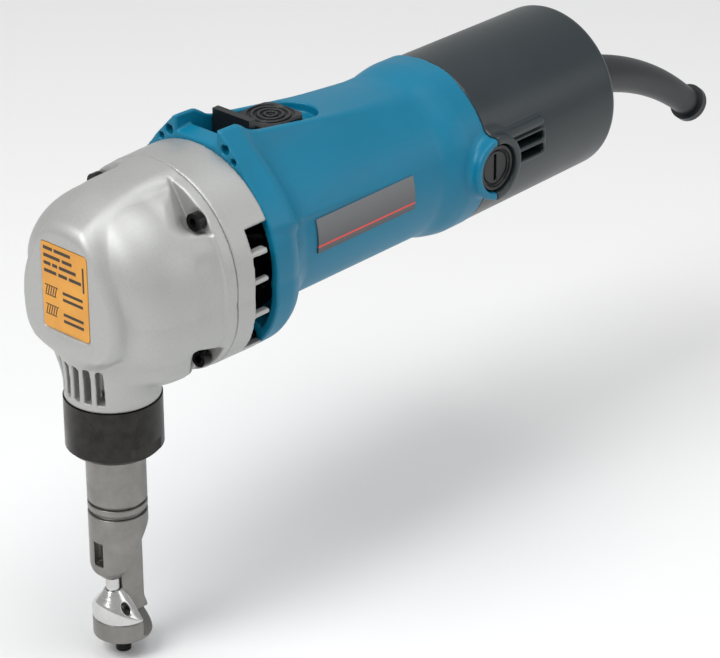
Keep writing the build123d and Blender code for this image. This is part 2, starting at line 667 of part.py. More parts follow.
def punch_holder():
    ram = zcyl(RAM_R, 38.0, 66.0) + zcyl(3.0, 65.5, 69.5) + zcyl(5.0, 69.0, 72.5)
    ram -= zcyl(PUNCH_R, 37.0, 52.0, PUNCH_X)
    return ram - xcyl(2.0, PUNCH_X, 8.0, 0.0, 42.0)


def punch():
    return zcyl(PUNCH_R, -2.0, 52.0, PUNCH_X)


def punch_set_screw():
    screw = xcyl(1.98, PUNCH_X + PUNCH_R, 6.6, 0.0, 42.0)
    return screw - xcyl(1.0, 5.0, 7.0, 0.0, 42.0)


def lock_nut():
    nut = zcyl(NUT_R, NUT_Z0, NUT_Z1 - 0.2)
    rim = nut.edges().filter_by(GeomType.CIRCLE).sort_by(Axis.Z)[0]
    nut = chamfer(rim, 1.6)
    nut -= zcyl(SPIGOT_R + 0.1, 61.7, NUT_Z1 + 1.0)
    nut -= zcyl(HOLDER_R + 0.1, NUT_Z0 - 1.0, 62.0)
    for side in (-1, 1):
        nut -= block(-20.0, 20.0, side * 18.2 - 2.0, side * 18.2 + 2.0, NUT_Z0 - 1.0, NUT_Z0 + 6.0)
    return nut


# ---------------------------------------------------------------- write the nodes

NODES = {
    "gear_housing": gear_housing(),
    "warning_label": warning_label(),
    "gear_housing_cover": gear_housing_cover(),
    "head_screws": head_screws(),
    "motor_housing": motor_housing(),
    "side_plate_left": side_plate(1),
    "side_plate_right": side_plate(-1),
    "rear_cover": rear_cover() + clamp_bed(),
    "rear_cover_screws": rear_cover_screws(),
    "cord_guard": cord_guard(),
    "cord_clamp": cord_clamp(),
    "cord_clamp_screws": cord_clamp_screws(),
    "brush_holder_left": brush_holder(1),
    "brush_holder_right": brush_holder(-1),
    "carbon_brush_left": carbon_brush(1),
    "carbon_brush_right": carbon_brush(-1),
    "brush_spring_left": brush_spring(1),
    "brush_spring_right": brush_spring(-1),
    "brush_cap_left": brush_cap(1),
    "brush_cap_right": brush_cap(-1),
    "switch_knob": switch_knob(),
    "switch_slider": switch_slider(),
    "switch_rod": switch_rod(),
    "switch_unit": switch_unit(),
    "field_core": field_core(),
    "field_coils": field_coils(),
    "field_screws": field_screws(),
    "baffle_plate": baffle_plate(),
    "armature_front_bearing": bearing(9.5, SHAFT_R - 0.47, 35.0, 42.0),
    "armature_rear_bearing": bearing(9.5, SHAFT_R - 0.47, 180.0, 187.0),
    "armature_shaft": armature_shaft(),
    "armature_core": armature_core(),
    "armature_winding": armature_winding(),
    "commutator": commutator(),
    "fan": fan(),
    "crankshaft": crankshaft(),
    "crank_roller": crank_roller(),
    "drive_gear": drive_gear(),
    "crank_front_bearing": bearing(7.0, 4.0, FRONT_X + 2.7, -12.8, CRANK_Z),
    "crank_rear_bearing": bearing(7.5, 4.0, 29.0, 33.7, CRANK_Z),
    "yoke": yoke(),
    "guide_bush": guide_bush(),
    "die_holder": die_holder(),
    "die": die(),
    "die_bolt": die_bolt(),
    "punch_holder": punch_holder(),
    "punch": punch(),
    "punch_set_screw": punch_set_screw(),
    "lock_nut": lock_nut(),
}

for name, shape in NODES.items():
    export_step(shape, f"parts/{name}.step")

mouth = guard_mouth()
print("cord inlet", mouth.origin, mouth.z_dir)
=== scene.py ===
import itertools
import math

import bpy
import numpy as np
from mathutils import Matrix, Vector


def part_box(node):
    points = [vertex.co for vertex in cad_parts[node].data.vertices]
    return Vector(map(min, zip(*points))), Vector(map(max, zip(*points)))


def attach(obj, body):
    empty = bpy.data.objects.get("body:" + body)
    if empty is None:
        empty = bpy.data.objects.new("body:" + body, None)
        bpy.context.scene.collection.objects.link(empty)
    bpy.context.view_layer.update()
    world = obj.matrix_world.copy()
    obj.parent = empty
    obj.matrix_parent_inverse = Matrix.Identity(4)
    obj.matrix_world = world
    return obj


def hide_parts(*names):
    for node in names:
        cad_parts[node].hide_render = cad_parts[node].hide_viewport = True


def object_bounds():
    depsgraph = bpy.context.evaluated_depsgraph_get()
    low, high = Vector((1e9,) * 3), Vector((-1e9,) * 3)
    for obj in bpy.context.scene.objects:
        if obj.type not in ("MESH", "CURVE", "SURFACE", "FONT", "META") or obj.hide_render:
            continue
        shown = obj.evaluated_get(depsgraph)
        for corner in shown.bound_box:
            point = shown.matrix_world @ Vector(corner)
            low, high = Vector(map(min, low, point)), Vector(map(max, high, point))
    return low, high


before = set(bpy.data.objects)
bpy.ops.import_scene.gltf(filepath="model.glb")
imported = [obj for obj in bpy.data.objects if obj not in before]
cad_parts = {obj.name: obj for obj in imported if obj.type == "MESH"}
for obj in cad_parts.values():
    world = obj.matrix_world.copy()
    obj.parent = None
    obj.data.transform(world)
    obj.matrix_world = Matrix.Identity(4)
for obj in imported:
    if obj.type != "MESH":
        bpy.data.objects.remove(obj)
cad_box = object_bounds()

# Shapes are written in millimetres in the frame of the CAD model and are
# turned into metres when their mesh is made.
AXIS = 121.5            # height of the motor axis
FRONT_X = -20.3         # foremost face of the head
SEAM_X = 25.6           # the gear housing meets the bearing plate
FLANGE_X = 44.8         # the bearing plate meets the motor housing
COVER_X = 164.1         # the motor housing meets the rear cover
REAR_X = 240.7          # rear face of the rear cover
SEAM_GAP = 0.06         # each casting's share of the open line at their seam
SHELL_GAP = 0.08        # the same for the two plastic shells
BRUSH_X = 165.0         # axis of the brush caps
CAP_HOLE_R = 9.6
KNOB_X = 82.2           # centre of the rings on the knob
PUNCH_X = -4.1          # axis of the punch
HOLDER_R = 10.87        # outside of the die holder
PUNCH_HOLE_R = 2.55
SLEEVE_TOP = 79.2       # top of the wide bore in the neck, above the holder's shank
GAUGE_GROOVES = ((35.9, 37.1), (31.9, 33.5))
LABEL_DEPTH = 0.6       # depth of the label's recess
HEAD_SCREWS = ((24.9, 24.9), (25.3, -27.6))     # (|y|, height above the motor axis)
SCREW_FLOOR_X = 21.0    # the face that the head screws sit on
SCREW_HOLE_R = 2.0
POST_HOLES = ((13.8, 39.9, 1.9), (17.9, 36.3, 1.35))    # (|y|, height, radius)
COVER_SCREWS = ((19.0, 11.0), (-19.0, -11.0))           # (y, height)


# ---------------------------------------------------------------- distance fields

def union(a, b, r=0.0):
    """Union of two fields; r is the radius of the fillet in the inner corner."""
    if np.isscalar(r) and r == 0.0:
        return np.minimum(a, b)
    corner = np.hypot(np.maximum(r - a, 0), np.maximum(r - b, 0))
    return np.maximum(r, np.minimum(a, b)) - corner


def meet(a, b, r=0.0):
    """Intersection of two fields; r is the radius of the rounded edge."""
    if np.isscalar(r) and r == 0.0:
        return np.maximum(a, b)
    corner = np.hypot(np.maximum(a + r, 0), np.maximum(b + r, 0))
    return np.minimum(-r, np.maximum(a, b)) + corner


def cut(a, b, r=0.0):
    """Field a without field b; r is the radius of the rounded edge."""
    return meet(a, -b, r)


def span(v, lo, hi):
    """Slab between two values of one coordinate."""
    return np.abs(v - (lo + hi) / 2) - (hi - lo) / 2


def box2(u, v, u0, u1, v0, v1, r=0.0):
    """Rectangle with rounded corners."""
    a = np.abs(u - (u0 + u1) / 2) - (u1 - u0) / 2 + r
    b = np.abs(v - (v0 + v1) / 2) - (v1 - v0) / 2 + r
    return np.hypot(np.maximum(a, 0), np.maximum(b, 0)) + np.minimum(np.maximum(a, b), 0) - r


def ease(t):
    """Smooth step from 0 to 1."""
    t = np.clip(t, 0, 1)
    return t * t * (3 - 2 * t)


def curve(v, *points):
    """Smooth curve through (v, value) points."""
    xs = [p[0] for p in points]
    ys = [p[1] for p in points]
    n = len(xs)
    slopes = [(ys[i + 1] - ys[i]) / (xs[i + 1] - xs[i]) for i in range(n - 1)]
    ends = [slopes[0]] + [0.0 if slopes[i - 1] * slopes[i] <= 0 else
                          2 * slopes[i - 1] * slopes[i] / (slopes[i - 1] + slopes[i])
                          for i in range(1, n - 1)] + [slopes[-1]]
    v = np.clip(v, xs[0], xs[-1])
    k = np.clip(np.searchsorted(xs, v, side="right") - 1, 0, n - 2)
    x0 = np.take(xs, k)
    h = np.take(xs, k + 1) - x0
    t = (v - x0) / h
    y0, y1 = np.take(ys, k), np.take(ys, k + 1)
    m0, m1 = np.take(ends, k) * h, np.take(ends, k + 1) * h
    return ((2 * t ** 3 - 3 * t ** 2 + 1) * y0 + (t ** 3 - 2 * t ** 2 + t) * m0
            + (3 * t ** 2 - 2 * t ** 3) * y1 + (t ** 3 - t ** 2) * m1)


# ---------------------------------------------------------------- meshing

def skin(field, lo, hi, step):
    """Vertices and quads of a field's zero surface."""
    n = [int(math.ceil((hi[i] - lo[i]) / step)) + 1 for i in range(3)]
    ax = [lo[i] + step * np.arange(n[i]) for i in range(3)]
    f = field(ax[0][:, None, None], ax[1][None, :, None], ax[2][None, None, :])
    f = np.ascontiguousarray(np.broadcast_to(f, n)).astype(np.float32)
    neg = f < 0
    count = np.zeros([v - 1 for v in n], np.uint8)
    for d in itertools.product((0, 1), repeat=3):
        count += neg[d[0]:n[0] - 1 + d[0], d[1]:n[1] - 1 + d[1], d[2]:n[2] - 1 + d[2]]
    active = (count > 0) & (count < 8)
    cells = np.argwhere(active)
    label = np.full(active.shape, -1, np.int64)
    label[active] = np.arange(len(cells))
    total = np.zeros((len(cells), 3))
    hits = np.zeros(len(cells))
    for axis in range(3):
        unit = np.eye(3, dtype=int)[axis]
        for d in itertools.product((0, 1), repeat=3):
            if d[axis]:
                continue
            a = cells + np.array(d)
            b = a + unit
            fa = f[a[:, 0], a[:, 1], a[:, 2]]
            fb = f[b[:, 0], b[:, 1], b[:, 2]]
            crossed = (fa < 0) != (fb < 0)
            t = np.where(crossed, fa / np.where(crossed, fa - fb, 1), 0)
            total += np.where(crossed[:, None], np.array(d) + t[:, None] * unit, 0)
            hits += crossed
    points = np.array(lo) + step * (cells + total / hits[:, None])
    quads = []
    for axis in range(3):
        u, v = (axis + 1) % 3, (axis + 2) % 3
        first = [slice(None)] * 3
        second = [slice(None)] * 3
        first[axis], second[axis] = slice(0, -1), slice(1, None)
        edges = np.argwhere(neg[tuple(first)] != neg[tuple(second)])
        eu, ev = edges[:, u], edges[:, v]
        edges = edges[(eu > 0) & (ev > 0) & (eu < n[u] - 1) & (ev < n[v] - 1)]
        du, dv = np.eye(3, dtype=int)[u], np.eye(3, dtype=int)[v]
        around = [edges - du - dv, edges - dv, edges, edges - du]
        quad = np.stack([label[c[:, 0], c[:, 1], c[:, 2]] for c in around], 1)
        outward = neg[edges[:, 0], edges[:, 1], edges[:, 2]]
        quads.append(np.where(outward[:, None], quad, quad[:, ::-1]))
    return points, np.concatenate(quads)


def settle(field, points, step, rounds=2):
    """Moves vertices onto the field's zero surface; h is the reach of the gradient."""
    h = 0.04
    for _ in range(rounds):
        x, y, z = points.T
        f = field(x, y, z)
        g = np.stack([field(x + h, y, z) - field(x - h, y, z),
                      field(x, y + h, z) - field(x, y - h, z),
                      field(x, y, z + h) - field(x, y, z - h)], 1) / (2 * h)
        move = -f[:, None] * g / np.maximum((g * g).sum(1), 0.2)[:, None]
        length = np.linalg.norm(move, axis=1)
        move *= np.minimum(1, 0.45 * step / np.maximum(length, 1e-9))[:, None]
        points = points + move
    return points


def solid(name, field, lo, hi, step, material, body, slot, *nodes):
    """A piece made from a distance field, which stands for CAD nodes."""
    step = step * 1.0
    points, quads = skin(field, lo, hi, step)
    points = settle(field, points, step)
    mesh = bpy.data.meshes.new(name)
    mesh.from_pydata((points / 1000).tolist(), [], quads.tolist())
    mesh.polygons.foreach_set("use_smooth", [True] * len(mesh.polygons))
    mesh.update()
    return place(name, mesh, material, body, slot, *nodes)


def place(name, mesh, material, body, slot, *nodes):
    """Puts a mesh in the scene as a piece that rides on a body."""
    piece = bpy.data.objects.new(name, mesh)
    bpy.context.scene.collection.objects.link(piece)
    mesh.materials.append(material)
    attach(piece, body)
    if nodes:
        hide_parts(*nodes)
    return piece


# ---------------------------------------------------------------- materials

class Nodes:
    """Short helpers for one material's node tree."""

    def __init__(self, name, color, roughness, metallic=0.0, **sockets):
        self.material = bpy.data.materials.new(name)
        self.material.use_nodes = True
        self.tree = self.material.node_tree
        self.shader = self.tree.nodes["Principled BSDF"]
        self.shader.inputs["Base Color"].default_value = (*color, 1)
        self.shader.inputs["Roughness"].default_value = roughness
        self.shader.inputs["Metallic"].default_value = metallic
        for key, value in sockets.items():
            self.shader.inputs[key.replace("_", " ")].default_value = value
        self.coords = self.add("ShaderNodeTexCoord").outputs["Object"]
        self.height = None

    def add(self, kind, **values):
        node = self.tree.nodes.new(kind)
        for key, value in values.items():
            setattr(node, key, value)
        return node

    def link(self, a, b):
        self.tree.links.new(a, b)

    def noise(self, scale, detail=3.0, rough=0.5, stretch=None):
        """Noise whose grain is 1/scale of a metre, stretched along an axis if asked."""
        source = self.coords
        if stretch:
            mapping = self.add("ShaderNodeMapping")
            mapping.inputs["Scale"].default_value = stretch
            self.link(source, mapping.inputs["Vector"])
            source = mapping.outputs["Vector"]
        node = self.add("ShaderNodeTexNoise")
        node.inputs["Scale"].default_value = scale
        node.inputs["Detail"].default_value = detail
        node.inputs["Roughness"].default_value = rough
        self.link(source, node.inputs["Vector"])
        return node.outputs["Fac"]

    def ramp(self, value, lo, hi, out_lo, out_hi):
        node = self.add("ShaderNodeMapRange")
        for key, v in (("From Min", lo), ("From Max", hi), ("To Min", out_lo), ("To Max", out_hi)):
            node.inputs[key].default_value = v
        self.link(value, node.inputs["Value"])
        return node.outputs["Result"]

    def mix(self, factor, a, b):
        """Colour a where the factor is 0 and b where it is 1."""
        node = self.add("ShaderNodeMix", data_type="RGBA")
        self.link(factor, node.inputs["Factor"])
        for key, value in (("A", a), ("B", b)):
            socket = [s for s in node.inputs if s.name == key and s.type == "RGBA"][0]
            if isinstance(value, tuple):
                socket.default_value = (*value, 1)
            else:
                self.link(value, socket)
        return [s for s in node.outputs if s.type == "RGBA"][0]

    def paint(self, color_out):
        self.link(color_out, self.shader.inputs["Base Color"])

    def shine(self, value):
        self.link(value, self.shader.inputs["Roughness"])

    def bump(self, value, strength, distance):
        node = self.add("ShaderNodeBump")
        node.inputs["Strength"].default_value = strength
        node.inputs["Distance"].default_value = distance
        self.link(value, node.inputs["Height"])
        if self.height is not None:
            self.link(self.height, node.inputs["Normal"])
        self.height = node.outputs["Normal"]
        self.link(self.height, self.shader.inputs["Normal"])


def shade(color, k):
    """A colour made lighter or darker."""
    return tuple(min(1.0, c * k) for c in color)


def cast_metal(name, color):
    """Sand-textured silver lacquer on a casting."""
    m = Nodes(name, color, 0.5, 0.55, Coat_Weight=0.15, Coat_Roughness=0.35)
    cloud = m.noise(45.0, 4.0, 0.6)
    grain = m.noise(1400.0, 2.0, 0.7)
    tone = m.mix(m.ramp(cloud, 0.35, 0.65, 0.0, 1.0), shade(color, 0.95), color)
    m.paint(m.mix(m.ramp(grain, 0.3, 0.7, 0.0, 1.0), tone, shade(color, 1.05)))
    m.shine(m.ramp(cloud, 0.3, 0.7, 0.44, 0.56))
    m.bump(cloud, 0.12, 0.0006)
    m.bump(grain, 0.2, 0.0002)
    return m.material


def moulding(name, color, rough, grain_scale=1100.0, strength=0.18, specular=0.5):
    """Moulded plastic with a fine spark texture and faint flow marks."""
    m = Nodes(name, color, rough, Specular_IOR_Level=specular)
    cloud = m.noise(30.0, 3.0, 0.55)
    grain = m.noise(grain_scale, 2.0, 0.6)
    m.paint(m.mix(m.ramp(cloud, 0.3, 0.7, 0.0, 1.0), shade(color, 0.94), shade(color, 1.06)))
    m.shine(m.ramp(cloud, 0.3, 0.7, rough - 0.04, rough + 0.05))
    m.bump(grain, strength, 0.0002)
    return m.material


def steel(name, color, rough=0.3, stretch=(1.0, 1.0, 30.0), metallic=1.0, depth=0.12):
    """Ground or turned steel: fine lines across the stretch axis and faint blotches."""
    m = Nodes(name, color, rough, metallic)
    lines = m.noise(260.0, 3.0, 0.6, stretch)
    blotch = m.noise(90.0, 3.0, 0.6)
    m.paint(m.mix(m.ramp(blotch, 0.3, 0.7, 0.0, 1.0), shade(color, 0.84), shade(color, 1.12)))
    m.shine(m.ramp(lines, 0.3, 0.7, rough - 0.08, rough + 0.1))
    m.bump(lines, depth, 0.0002)
    return m.material


def black_oxide(name, color, rough):
    """Blackened steel with faint lighter blotches."""
    m = Nodes(name, color, rough, 0.75)
    blotch = m.noise(120.0, 4.0, 0.65)
    lines = m.noise(300.0, 2.0, 0.5, (1.0, 1.0, 14.0))
    m.paint(m.mix(m.ramp(blotch, 0.4, 0.75, 0.0, 1.0), color, shade(color, 2.4)))
    m.shine(m.ramp(blotch, 0.3, 0.7, rough - 0.06, rough + 0.12))
    m.bump(lines, 0.10, 0.0002)
    return m.material


def laminated(name, color):
    """Stacked sheets across the motor axis."""
    m = Nodes(name, color, 0.5, 0.8)
    wave = m.add("ShaderNodeTexWave", wave_type="BANDS", bands_direction="X")
    wave.inputs["Scale"].default_value = 320.0
    wave.inputs["Distortion"].default_value = 0.2
    m.link(m.coords, wave.inputs["Vector"])
    m.paint(m.mix(wave.outputs["Fac"], shade(color, 0.6), color))
    m.bump(wave.outputs["Fac"], 0.3, 0.0002)
    return m.material


def wound(name, color):
    """Enamelled copper wire under clear varnish."""
    m = Nodes(name, color, 0.28, 0.9, Coat_Weight=0.6, Coat_Roughness=0.2)
    wave = m.add("ShaderNodeTexWave", wave_type="RINGS", rings_direction="X")
    wave.inputs["Scale"].default_value = 420.0
    wave.inputs["Distortion"].default_value = 1.5
    m.link(m.coords, wave.inputs["Vector"])
    m.paint(m.mix(wave.outputs["Fac"], shade(color, 0.45), color))
    m.bump(wave.outputs["Fac"], 0.5, 0.0003)
    return m.material


SILVER = cast_metal("silver_casting", (0.44, 0.445, 0.435))
BLUE = moulding("blue_moulding", (0.0, 0.165, 0.285), 0.40, specular=0.35)
DARK = moulding("slate_moulding", (0.017, 0.026, 0.030), 0.33, 900.0, 0.12)
RUBBER = moulding("black_rubber", (0.012, 0.016, 0.018), 0.38, 700.0, 0.08)
BLACK = moulding("black_plastic", (0.008, 0.009, 0.010), 0.36, 1200.0, 0.14)
OXIDE = black_oxide("black_oxide_steel", (0.018, 0.017, 0.016), 0.3)
SCREW = black_oxide("black_screw_steel", (0.012, 0.012, 0.013), 0.28)
GROUND = steel("ground_holder_steel", (0.24, 0.235, 0.222), 0.34, (1.0, 1.0, 24.0), 0.9, 0.2)
BRIGHT = steel("bright_tool_steel", (0.62, 0.62, 0.61), 0.2, (1.0, 1.0, 20.0))
TURNED = steel("turned_steel", (0.48, 0.48, 0.49), 0.28, (30.0, 1.0, 1.0))
POLISHED = steel("bearing_steel", (0.66, 0.66, 0.68), 0.14, (30.0, 1.0, 1.0), 1.0, 0.05)
STACK = laminated("motor_sheet_stack", (0.26, 0.26, 0.28))
COPPER = wound("enamelled_copper", (0.70, 0.27, 0.12))
CARBON = moulding("pressed_carbon", (0.02, 0.02, 0.021), 0.6, 2000.0, 0.3)
BRASS = steel("drawn_brass", (0.72, 0.52, 0.22), 0.25)
BRONZE = steel("sintered_bronze", (0.50, 0.29, 0.12), 0.42, (3.0, 3.0, 3.0))

# The material of every CAD node
PAINTED = {
    "gear_housing": SILVER, "gear_housing_cover": SILVER, "motor_housing": BLUE, "rear_cover": DARK,
    "cord_clamp": DARK, "baffle_plate": DARK, "brush_cap_left": BLACK, "brush_cap_right": BLACK,
    "cord_guard": RUBBER, "lock_nut": OXIDE, "head_screws": SCREW, "die_bolt": SCREW,
    "punch_set_screw": SCREW, "die_holder": GROUND, "punch_holder": TURNED, "die": BRIGHT, "punch": BRIGHT,
    "armature_front_bearing": POLISHED, "armature_rear_bearing": POLISHED, "crank_front_bearing": POLISHED,
    "crank_rear_bearing": POLISHED, "crank_roller": POLISHED, "armature_shaft": TURNED, "crankshaft": TURNED,
    "drive_gear": TURNED, "yoke": TURNED, "rear_cover_screws": SCREW, "cord_clamp_screws": TURNED,
    "field_screws": TURNED, "brush_spring_left": TURNED, "brush_spring_right": TURNED, "field_core": STACK,
    "armature_core": STACK, "field_coils": COPPER, "armature_winding": COPPER, "commutator": COPPER,
    "fan": BLACK, "carbon_brush_left": CARBON, "carbon_brush_right": CARBON, "brush_holder_left": BRASS,
    "brush_holder_right": BRASS, "switch_knob": BLACK, "switch_slider": BLACK, "switch_rod": BLACK,
    "switch_unit": BLACK, "guide_bush": BRONZE,
}


def label_material():
    """Orange printed sheet."""
    m = Nodes("orange_label_sheet", (0.68, 0.29, 0.02), 0.32, Coat_Weight=0.2, Coat_Roughness=0.2)
    cloud = m.noise(60.0, 3.0, 0.6)
    m.paint(m.mix(m.ramp(cloud, 0.3, 0.7, 0.0, 1.0), (0.63, 0.26, 0.015), (0.73, 0.33, 0.025)))
    m.shine(m.ramp(cloud, 0.3, 0.7, 0.27, 0.38))
    m.bump(m.noise(900.0, 2.0, 0.5), 0.05, 0.0001)
    return m.material


def plate_material():
    """Grey foil that darkens downwards, with one thin red line near its lower edge."""
    m = Nodes("side_plate_foil", (0.09, 0.09, 0.10), 0.35, 0.2, Coat_Weight=0.4, Coat_Roughness=0.15)
    split = m.add("ShaderNodeSeparateXYZ")
    m.link(m.coords, split.inputs["Vector"])
    z = split.outputs["Z"]
    low = (AXIS - 4.6) / 1000
    fade = m.ramp(z, low, low + 0.013, 0.0, 1.0)
    grey = m.mix(fade, (0.045, 0.045, 0.05), (0.17, 0.175, 0.185))
    compare = m.add("ShaderNodeMath", operation="COMPARE")
    m.link(z, compare.inputs[0])
    compare.inputs[1].default_value = low + 0.0026
    compare.inputs[2].default_value = 0.00038
    m.paint(m.mix(compare.outputs["Value"], grey, (0.72, 0.03, 0.02)))
    m.bump(m.noise(500.0, 2.0, 0.5), 0.04, 0.0001)
    return m.material


PAINTED["warning_label"] = label_material()
PAINTED["side_plate_left"] = PAINTED["side_plate_right"] = plate_material()
for name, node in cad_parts.items():
    node.data.materials.clear()
    node.data.materials.append(PAINTED[name])


# ---------------------------------------------------------------- head castings

def from_screw(ay, z):
    """Distance from the axis of the nearest head screw."""
    return np.minimum(*(np.hypot(ay - sy, z - sz) for sy, sz in HEAD_SCREWS))


def facet(x, y, z, a, b, c, away):
    """Half-space bounded by the plane through a, b and c; the point away lies inside it."""
    a, b, c, away = (np.array(p, float) for p in (a, b, c, away))
    n = np.cross(b - a, c - a)
    n /= np.linalg.norm(n)
    if n @ (away - a) > 0:
        n = -n
    return n[0] * (x - a[0]) + n[1] * (y - a[1]) + n[2] * (z - a[2])


def section(y, z):
    """Radius-like measure of the head's section: round above, squarer below."""
    ay = np.abs(y)
    low = np.hypot(np.maximum(ay - 8.8, 0), z + 8.0) + 9.0
    return union(np.hypot(y, z), low, 5.0)


def plateau(x, y, z):
    """The raised front block: keystone outline, domed top, generous front edge."""
    ay = np.abs(y)
    half = curve(z, (-24, 15.0), (-20.5, 17.0), (-17.5, 20.3), (-13, 22.6), (-4, 23.3), (2, 22.9),
                 (8.5, 21.2), (14, 18.6), (19, 16.2), (24, 13.8), (30, 11.3), (38, 10.3))
    side = (ay - half - 0.05 * (x - FRONT_X)) / 1.1
    dome = np.hypot(y, z) - (38.7 - 0.0052 * (25.6 - x) ** 2)
    outline = meet(side, dome, 5.0)
    outline = meet(outline, -(z + 21.0), 4.0)
    return meet(outline, FRONT_X - x, 3.4)


def shoulder(x, y, z):
    """The body behind the plateau: it narrows forward and closes in a blunt, rounded front."""
    rho = np.maximum(section(y, z), 0.1)
    step = curve(x, (-20, 35.4), (6, 35.4), (12, 36.0), (19.9, 36.9), (20.7, 38.2),
                 (SEAM_X, 38.4))
    crown = curve(x, (-20, 35.4), (6, 35.6), (12, 36.3), (19, 37.6), (SEAM_X, 38.4))
    belly = curve(x, (-20, 36.5), (0, 38.0), (12, 38.4), (SEAM_X, 38.4))
    radius = (step + (crown - step) * ease((z - 34.0) / 2.5)
              + (belly - step) * ease((-23.0 - z) / 7))
    length = 27.5 + 3.0 * ease((z + 6) / 18)
    reach = np.maximum(12.0 - x, 0) / length
    return ((reach ** 3.2 + (rho / radius) ** 3.2) ** (1 / 3.2) - 1) * radius


def screw_pockets(x, y, z):
    """Scooped recesses round the four head screws, open to the outside."""
    ay = np.abs(y)
    bowl = from_screw(ay, z) - 0.1 * (SCREW_FLOOR_X - x)
    front, deep, out = (8.4, 25.8, 24.8), (SCREW_FLOOR_X, 20.6, 20.6), (SCREW_FLOOR_X, 33.0, 33.0)
    ramp = facet(x, ay, z, (18.4, 12.3, 35.8), front, deep, out)
    base = facet(x, ay, z, front, (20.5, 32.6, 20.9), deep, out)
    upper = meet(meet(ramp, base, 2.2), x - SCREW_FLOOR_X, 0.8)
    upper = union(upper, meet(meet(bowl - 4.1, span(x, 16.0, SCREW_FLOOR_X), 1.5), -z), 1.5)
    out = (SCREW_FLOOR_X, 33.0, -38.0)
    ramp = facet(x, ay, z, (8.0, 32.0, -22.0), (13.0, 26.0, -32.0), (20.5, 21.5, -25.0), out)
    ceiling = facet(x, ay, z, (6.0, 33.0, -19.0), (20.5, 33.0, -21.3), (20.5, 22.0, -23.0), out)
    lower = meet(meet(ramp, ceiling, 2.2), x - 22.0, 0.8)
    lower = union(lower, meet(meet(bowl - 4.0, span(x, 12.0, SCREW_FLOOR_X), 0.8), z), 0.8)
    return union(upper, lower)


def gear_housing(x, y, zz):
    """Head casting: shoulder, plateau and neck, with pockets, slots and label recess."""
    z = zz - AXIS
    ay = np.abs(y)
    neck = meet(np.hypot(x, y) - 17.3, span(zz, 79.1, AXIS - 16.0), 0.4)
    body = union(shoulder(x, y, z), plateau(x, y, z), 1.5)
    blend = 2.5 + 6.0 * ease((6 - x) / 14)
    shape = union(body, neck, blend)
    # shallow waist between the two pockets on each side, in front of the rim
    dip = 0.8 * ease((x - 8) / 5) * ease((19.9 - x) / 4) * ease((20 - np.abs(z + 2)) / 6)
    shape = shape + np.where(ay > 20, dip, 0)
    # Known fault: this half-space lies behind the seam, so the cavity cuts nothing and the
    # casting is solid inside. x - SEAM_X - 1 would hollow it.
    inner = meet(shape + 2.9, SEAM_X + 1 - x)
    inner = meet(inner, 6.6 - from_screw(ay, z), 1.0)
    inner = meet(inner, 82.1 - zz, 0.5)
    shape = cut(shape, inner)
    shape = cut(shape, screw_pockets(x, y, z), 0.35 + 1.5 * ease((18.0 - x) / 6))
    shape = cut(shape, meet(from_screw(ay, z) - SCREW_HOLE_R, SCREW_FLOOR_X - x))
    spigot = meet(np.hypot(x, y) - 14.9, span(zz, 66.3, 80.0))
    shape = union(shape, spigot)
    shape = cut(shape, meet(np.hypot(x, y) - 11.2, zz - SLEEVE_TOP))
    shape = cut(shape, meet(np.hypot(x, y) - 9.6, zz - 84.0))
    recess = meet(box2(y, z, -11.75, 11.75, -12.6, 20.7, 1.6), x - FRONT_X - LABEL_DEPTH)
    shape = cut(shape, recess, 0.15)
    shape = cut(shape, neck_slots(x, y, zz), 0.25)
    return meet(x - SEAM_X + SEAM_GAP, shape, 0.25)


def neck_slots(x, y, zz):
    """Five tall arched air slots round the front of the neck."""
    slots = None
    for angle in (-33.0, -16.5, 0.0, 16.5, 33.0):
        a = math.radians(angle)
        across = -x * math.sin(a) - y * math.cos(a)
        along = -x * math.cos(a) + y * math.sin(a)
        arch = np.hypot(across, np.maximum(zz - 94.4, 0)) - 1.5
        slot = meet(meet(arch, 82.0 - zz, 0.5), 10.0 - along)
        slots = slot if slots is None else union(slots, slot)
    return slots


def gear_housing_cover(x, y, zz):
    """Bearing plate and fan ring, with its exhaust openings."""
    z = zz - AXIS
    ay = np.abs(y)
    rho = section(y, z)
    outer = rho - 38.65 - 0.35 * ease((x - SEAM_X) / 19)
    shape = meet(outer, span(x, SEAM_X + SEAM_GAP, FLANGE_X - SHELL_GAP), 0.3)
    hollow = meet(rho - 35.6, 33.6 - x, 0.5)
    hollow = meet(hollow, 6.0 - from_screw(ay, z), 1.0)
    shape = cut(shape, hollow)
    shape = cut(shape, meet(rho - 35.4, x - 28.0))
    boss = meet(np.hypot(y, z) - 12.5, span(x, 28.0, 42.0))
    shape = union(shape, boss)
    shape = cut(shape, meet(np.hypot(y, z) - 9.5, 35.0 - x))
    shape = cut(shape, np.hypot(y, z) - 6.0)
    shape = cut(shape, meet(np.hypot(y, z + 17.55) - 7.5, 28.9 - x))
    shape = cut(shape, from_screw(ay, z) - SCREW_HOLE_R)
    # exhaust openings on both sides, open towards the motor housing, with ribs between them
    edge = 34.0 + 1.2 * ease((z + 15) / -12)
    window = meet(meet(edge - x, span(z, -28.5, 19.2)), 24.0 - ay)
    for rib in (10.3, -0.4, -13.0):
        bar = meet(meet(np.abs(z - rib) - 0.85, x - 41.4, 0.5), ay - 37.9, 0.5)
        window = cut(window, bar, 0.4)
    return cut(shape, window, 0.3)


# ---------------------------------------------------------------- motor housing

